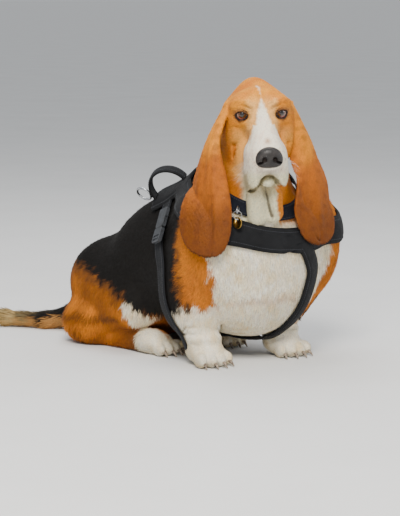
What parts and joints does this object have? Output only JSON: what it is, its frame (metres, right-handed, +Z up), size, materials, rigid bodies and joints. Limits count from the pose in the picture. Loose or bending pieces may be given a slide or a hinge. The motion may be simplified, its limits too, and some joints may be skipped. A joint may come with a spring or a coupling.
{
  "type": "basset hound model",
  "caption": "Sitting tri-colour basset hound with long ears, wearing a padded walking harness with a handle and a collar with a ring and tag.",
  "frame": {"origin": "centre of the bounding box at floor level, under the belly", "axes": "+X to the hound's left, +Y towards its tail, +Z up; the hound faces -Y"},
  "size_m": [0.4729, 0.9206, 0.5389],
  "materials": {
    "coat": "short dense fur, black saddle, tan head and legs, white chest, feet and blaze",
    "ear_coat": "very short velvety red-brown fur",
    "nose_leather": "moist black pebbled nose leather",
    "eye": "glossy dark brown eye with a clear cornea and reddened lower rim",
    "webbing": "black woven webbing and padded mesh with bound and stitched edges",
    "buckle_plastic": "matt grey-black moulded plastic",
    "steel": "bright plated steel wire",
    "brass": "worn polished brass disc"
  },
  "bodies": {
    "root": {"torso": "coat", "neck": "coat", "head": "coat", "foreleg_right": "coat", "foreleg_left": "coat", "forepaw_right": "coat", "forepaw_left": "coat", "hindleg_right": "coat", "hindleg_left": "coat", "hindpaw_right": "coat", "hindpaw_left": "coat", "tail_base": "coat", "tail_tip": "coat", "ear_right": "ear_coat", "ear_left": "ear_coat", "nose": "nose_leather", "eye_right": "eye", "eye_left": "eye", "chest_band": "webbing", "girth_strap": "webbing", "sternum_strap": "webbing", "back_plate": "webbing", "handle": "webbing", "collar": "webbing", "buckle_socket": "buckle_plastic", "buckle_plug": "buckle_plastic", "harness_ring": "steel", "collar_loop": "steel", "split_ring": "steel", "name_tag": "brass"}
  },
  "joints": []
}
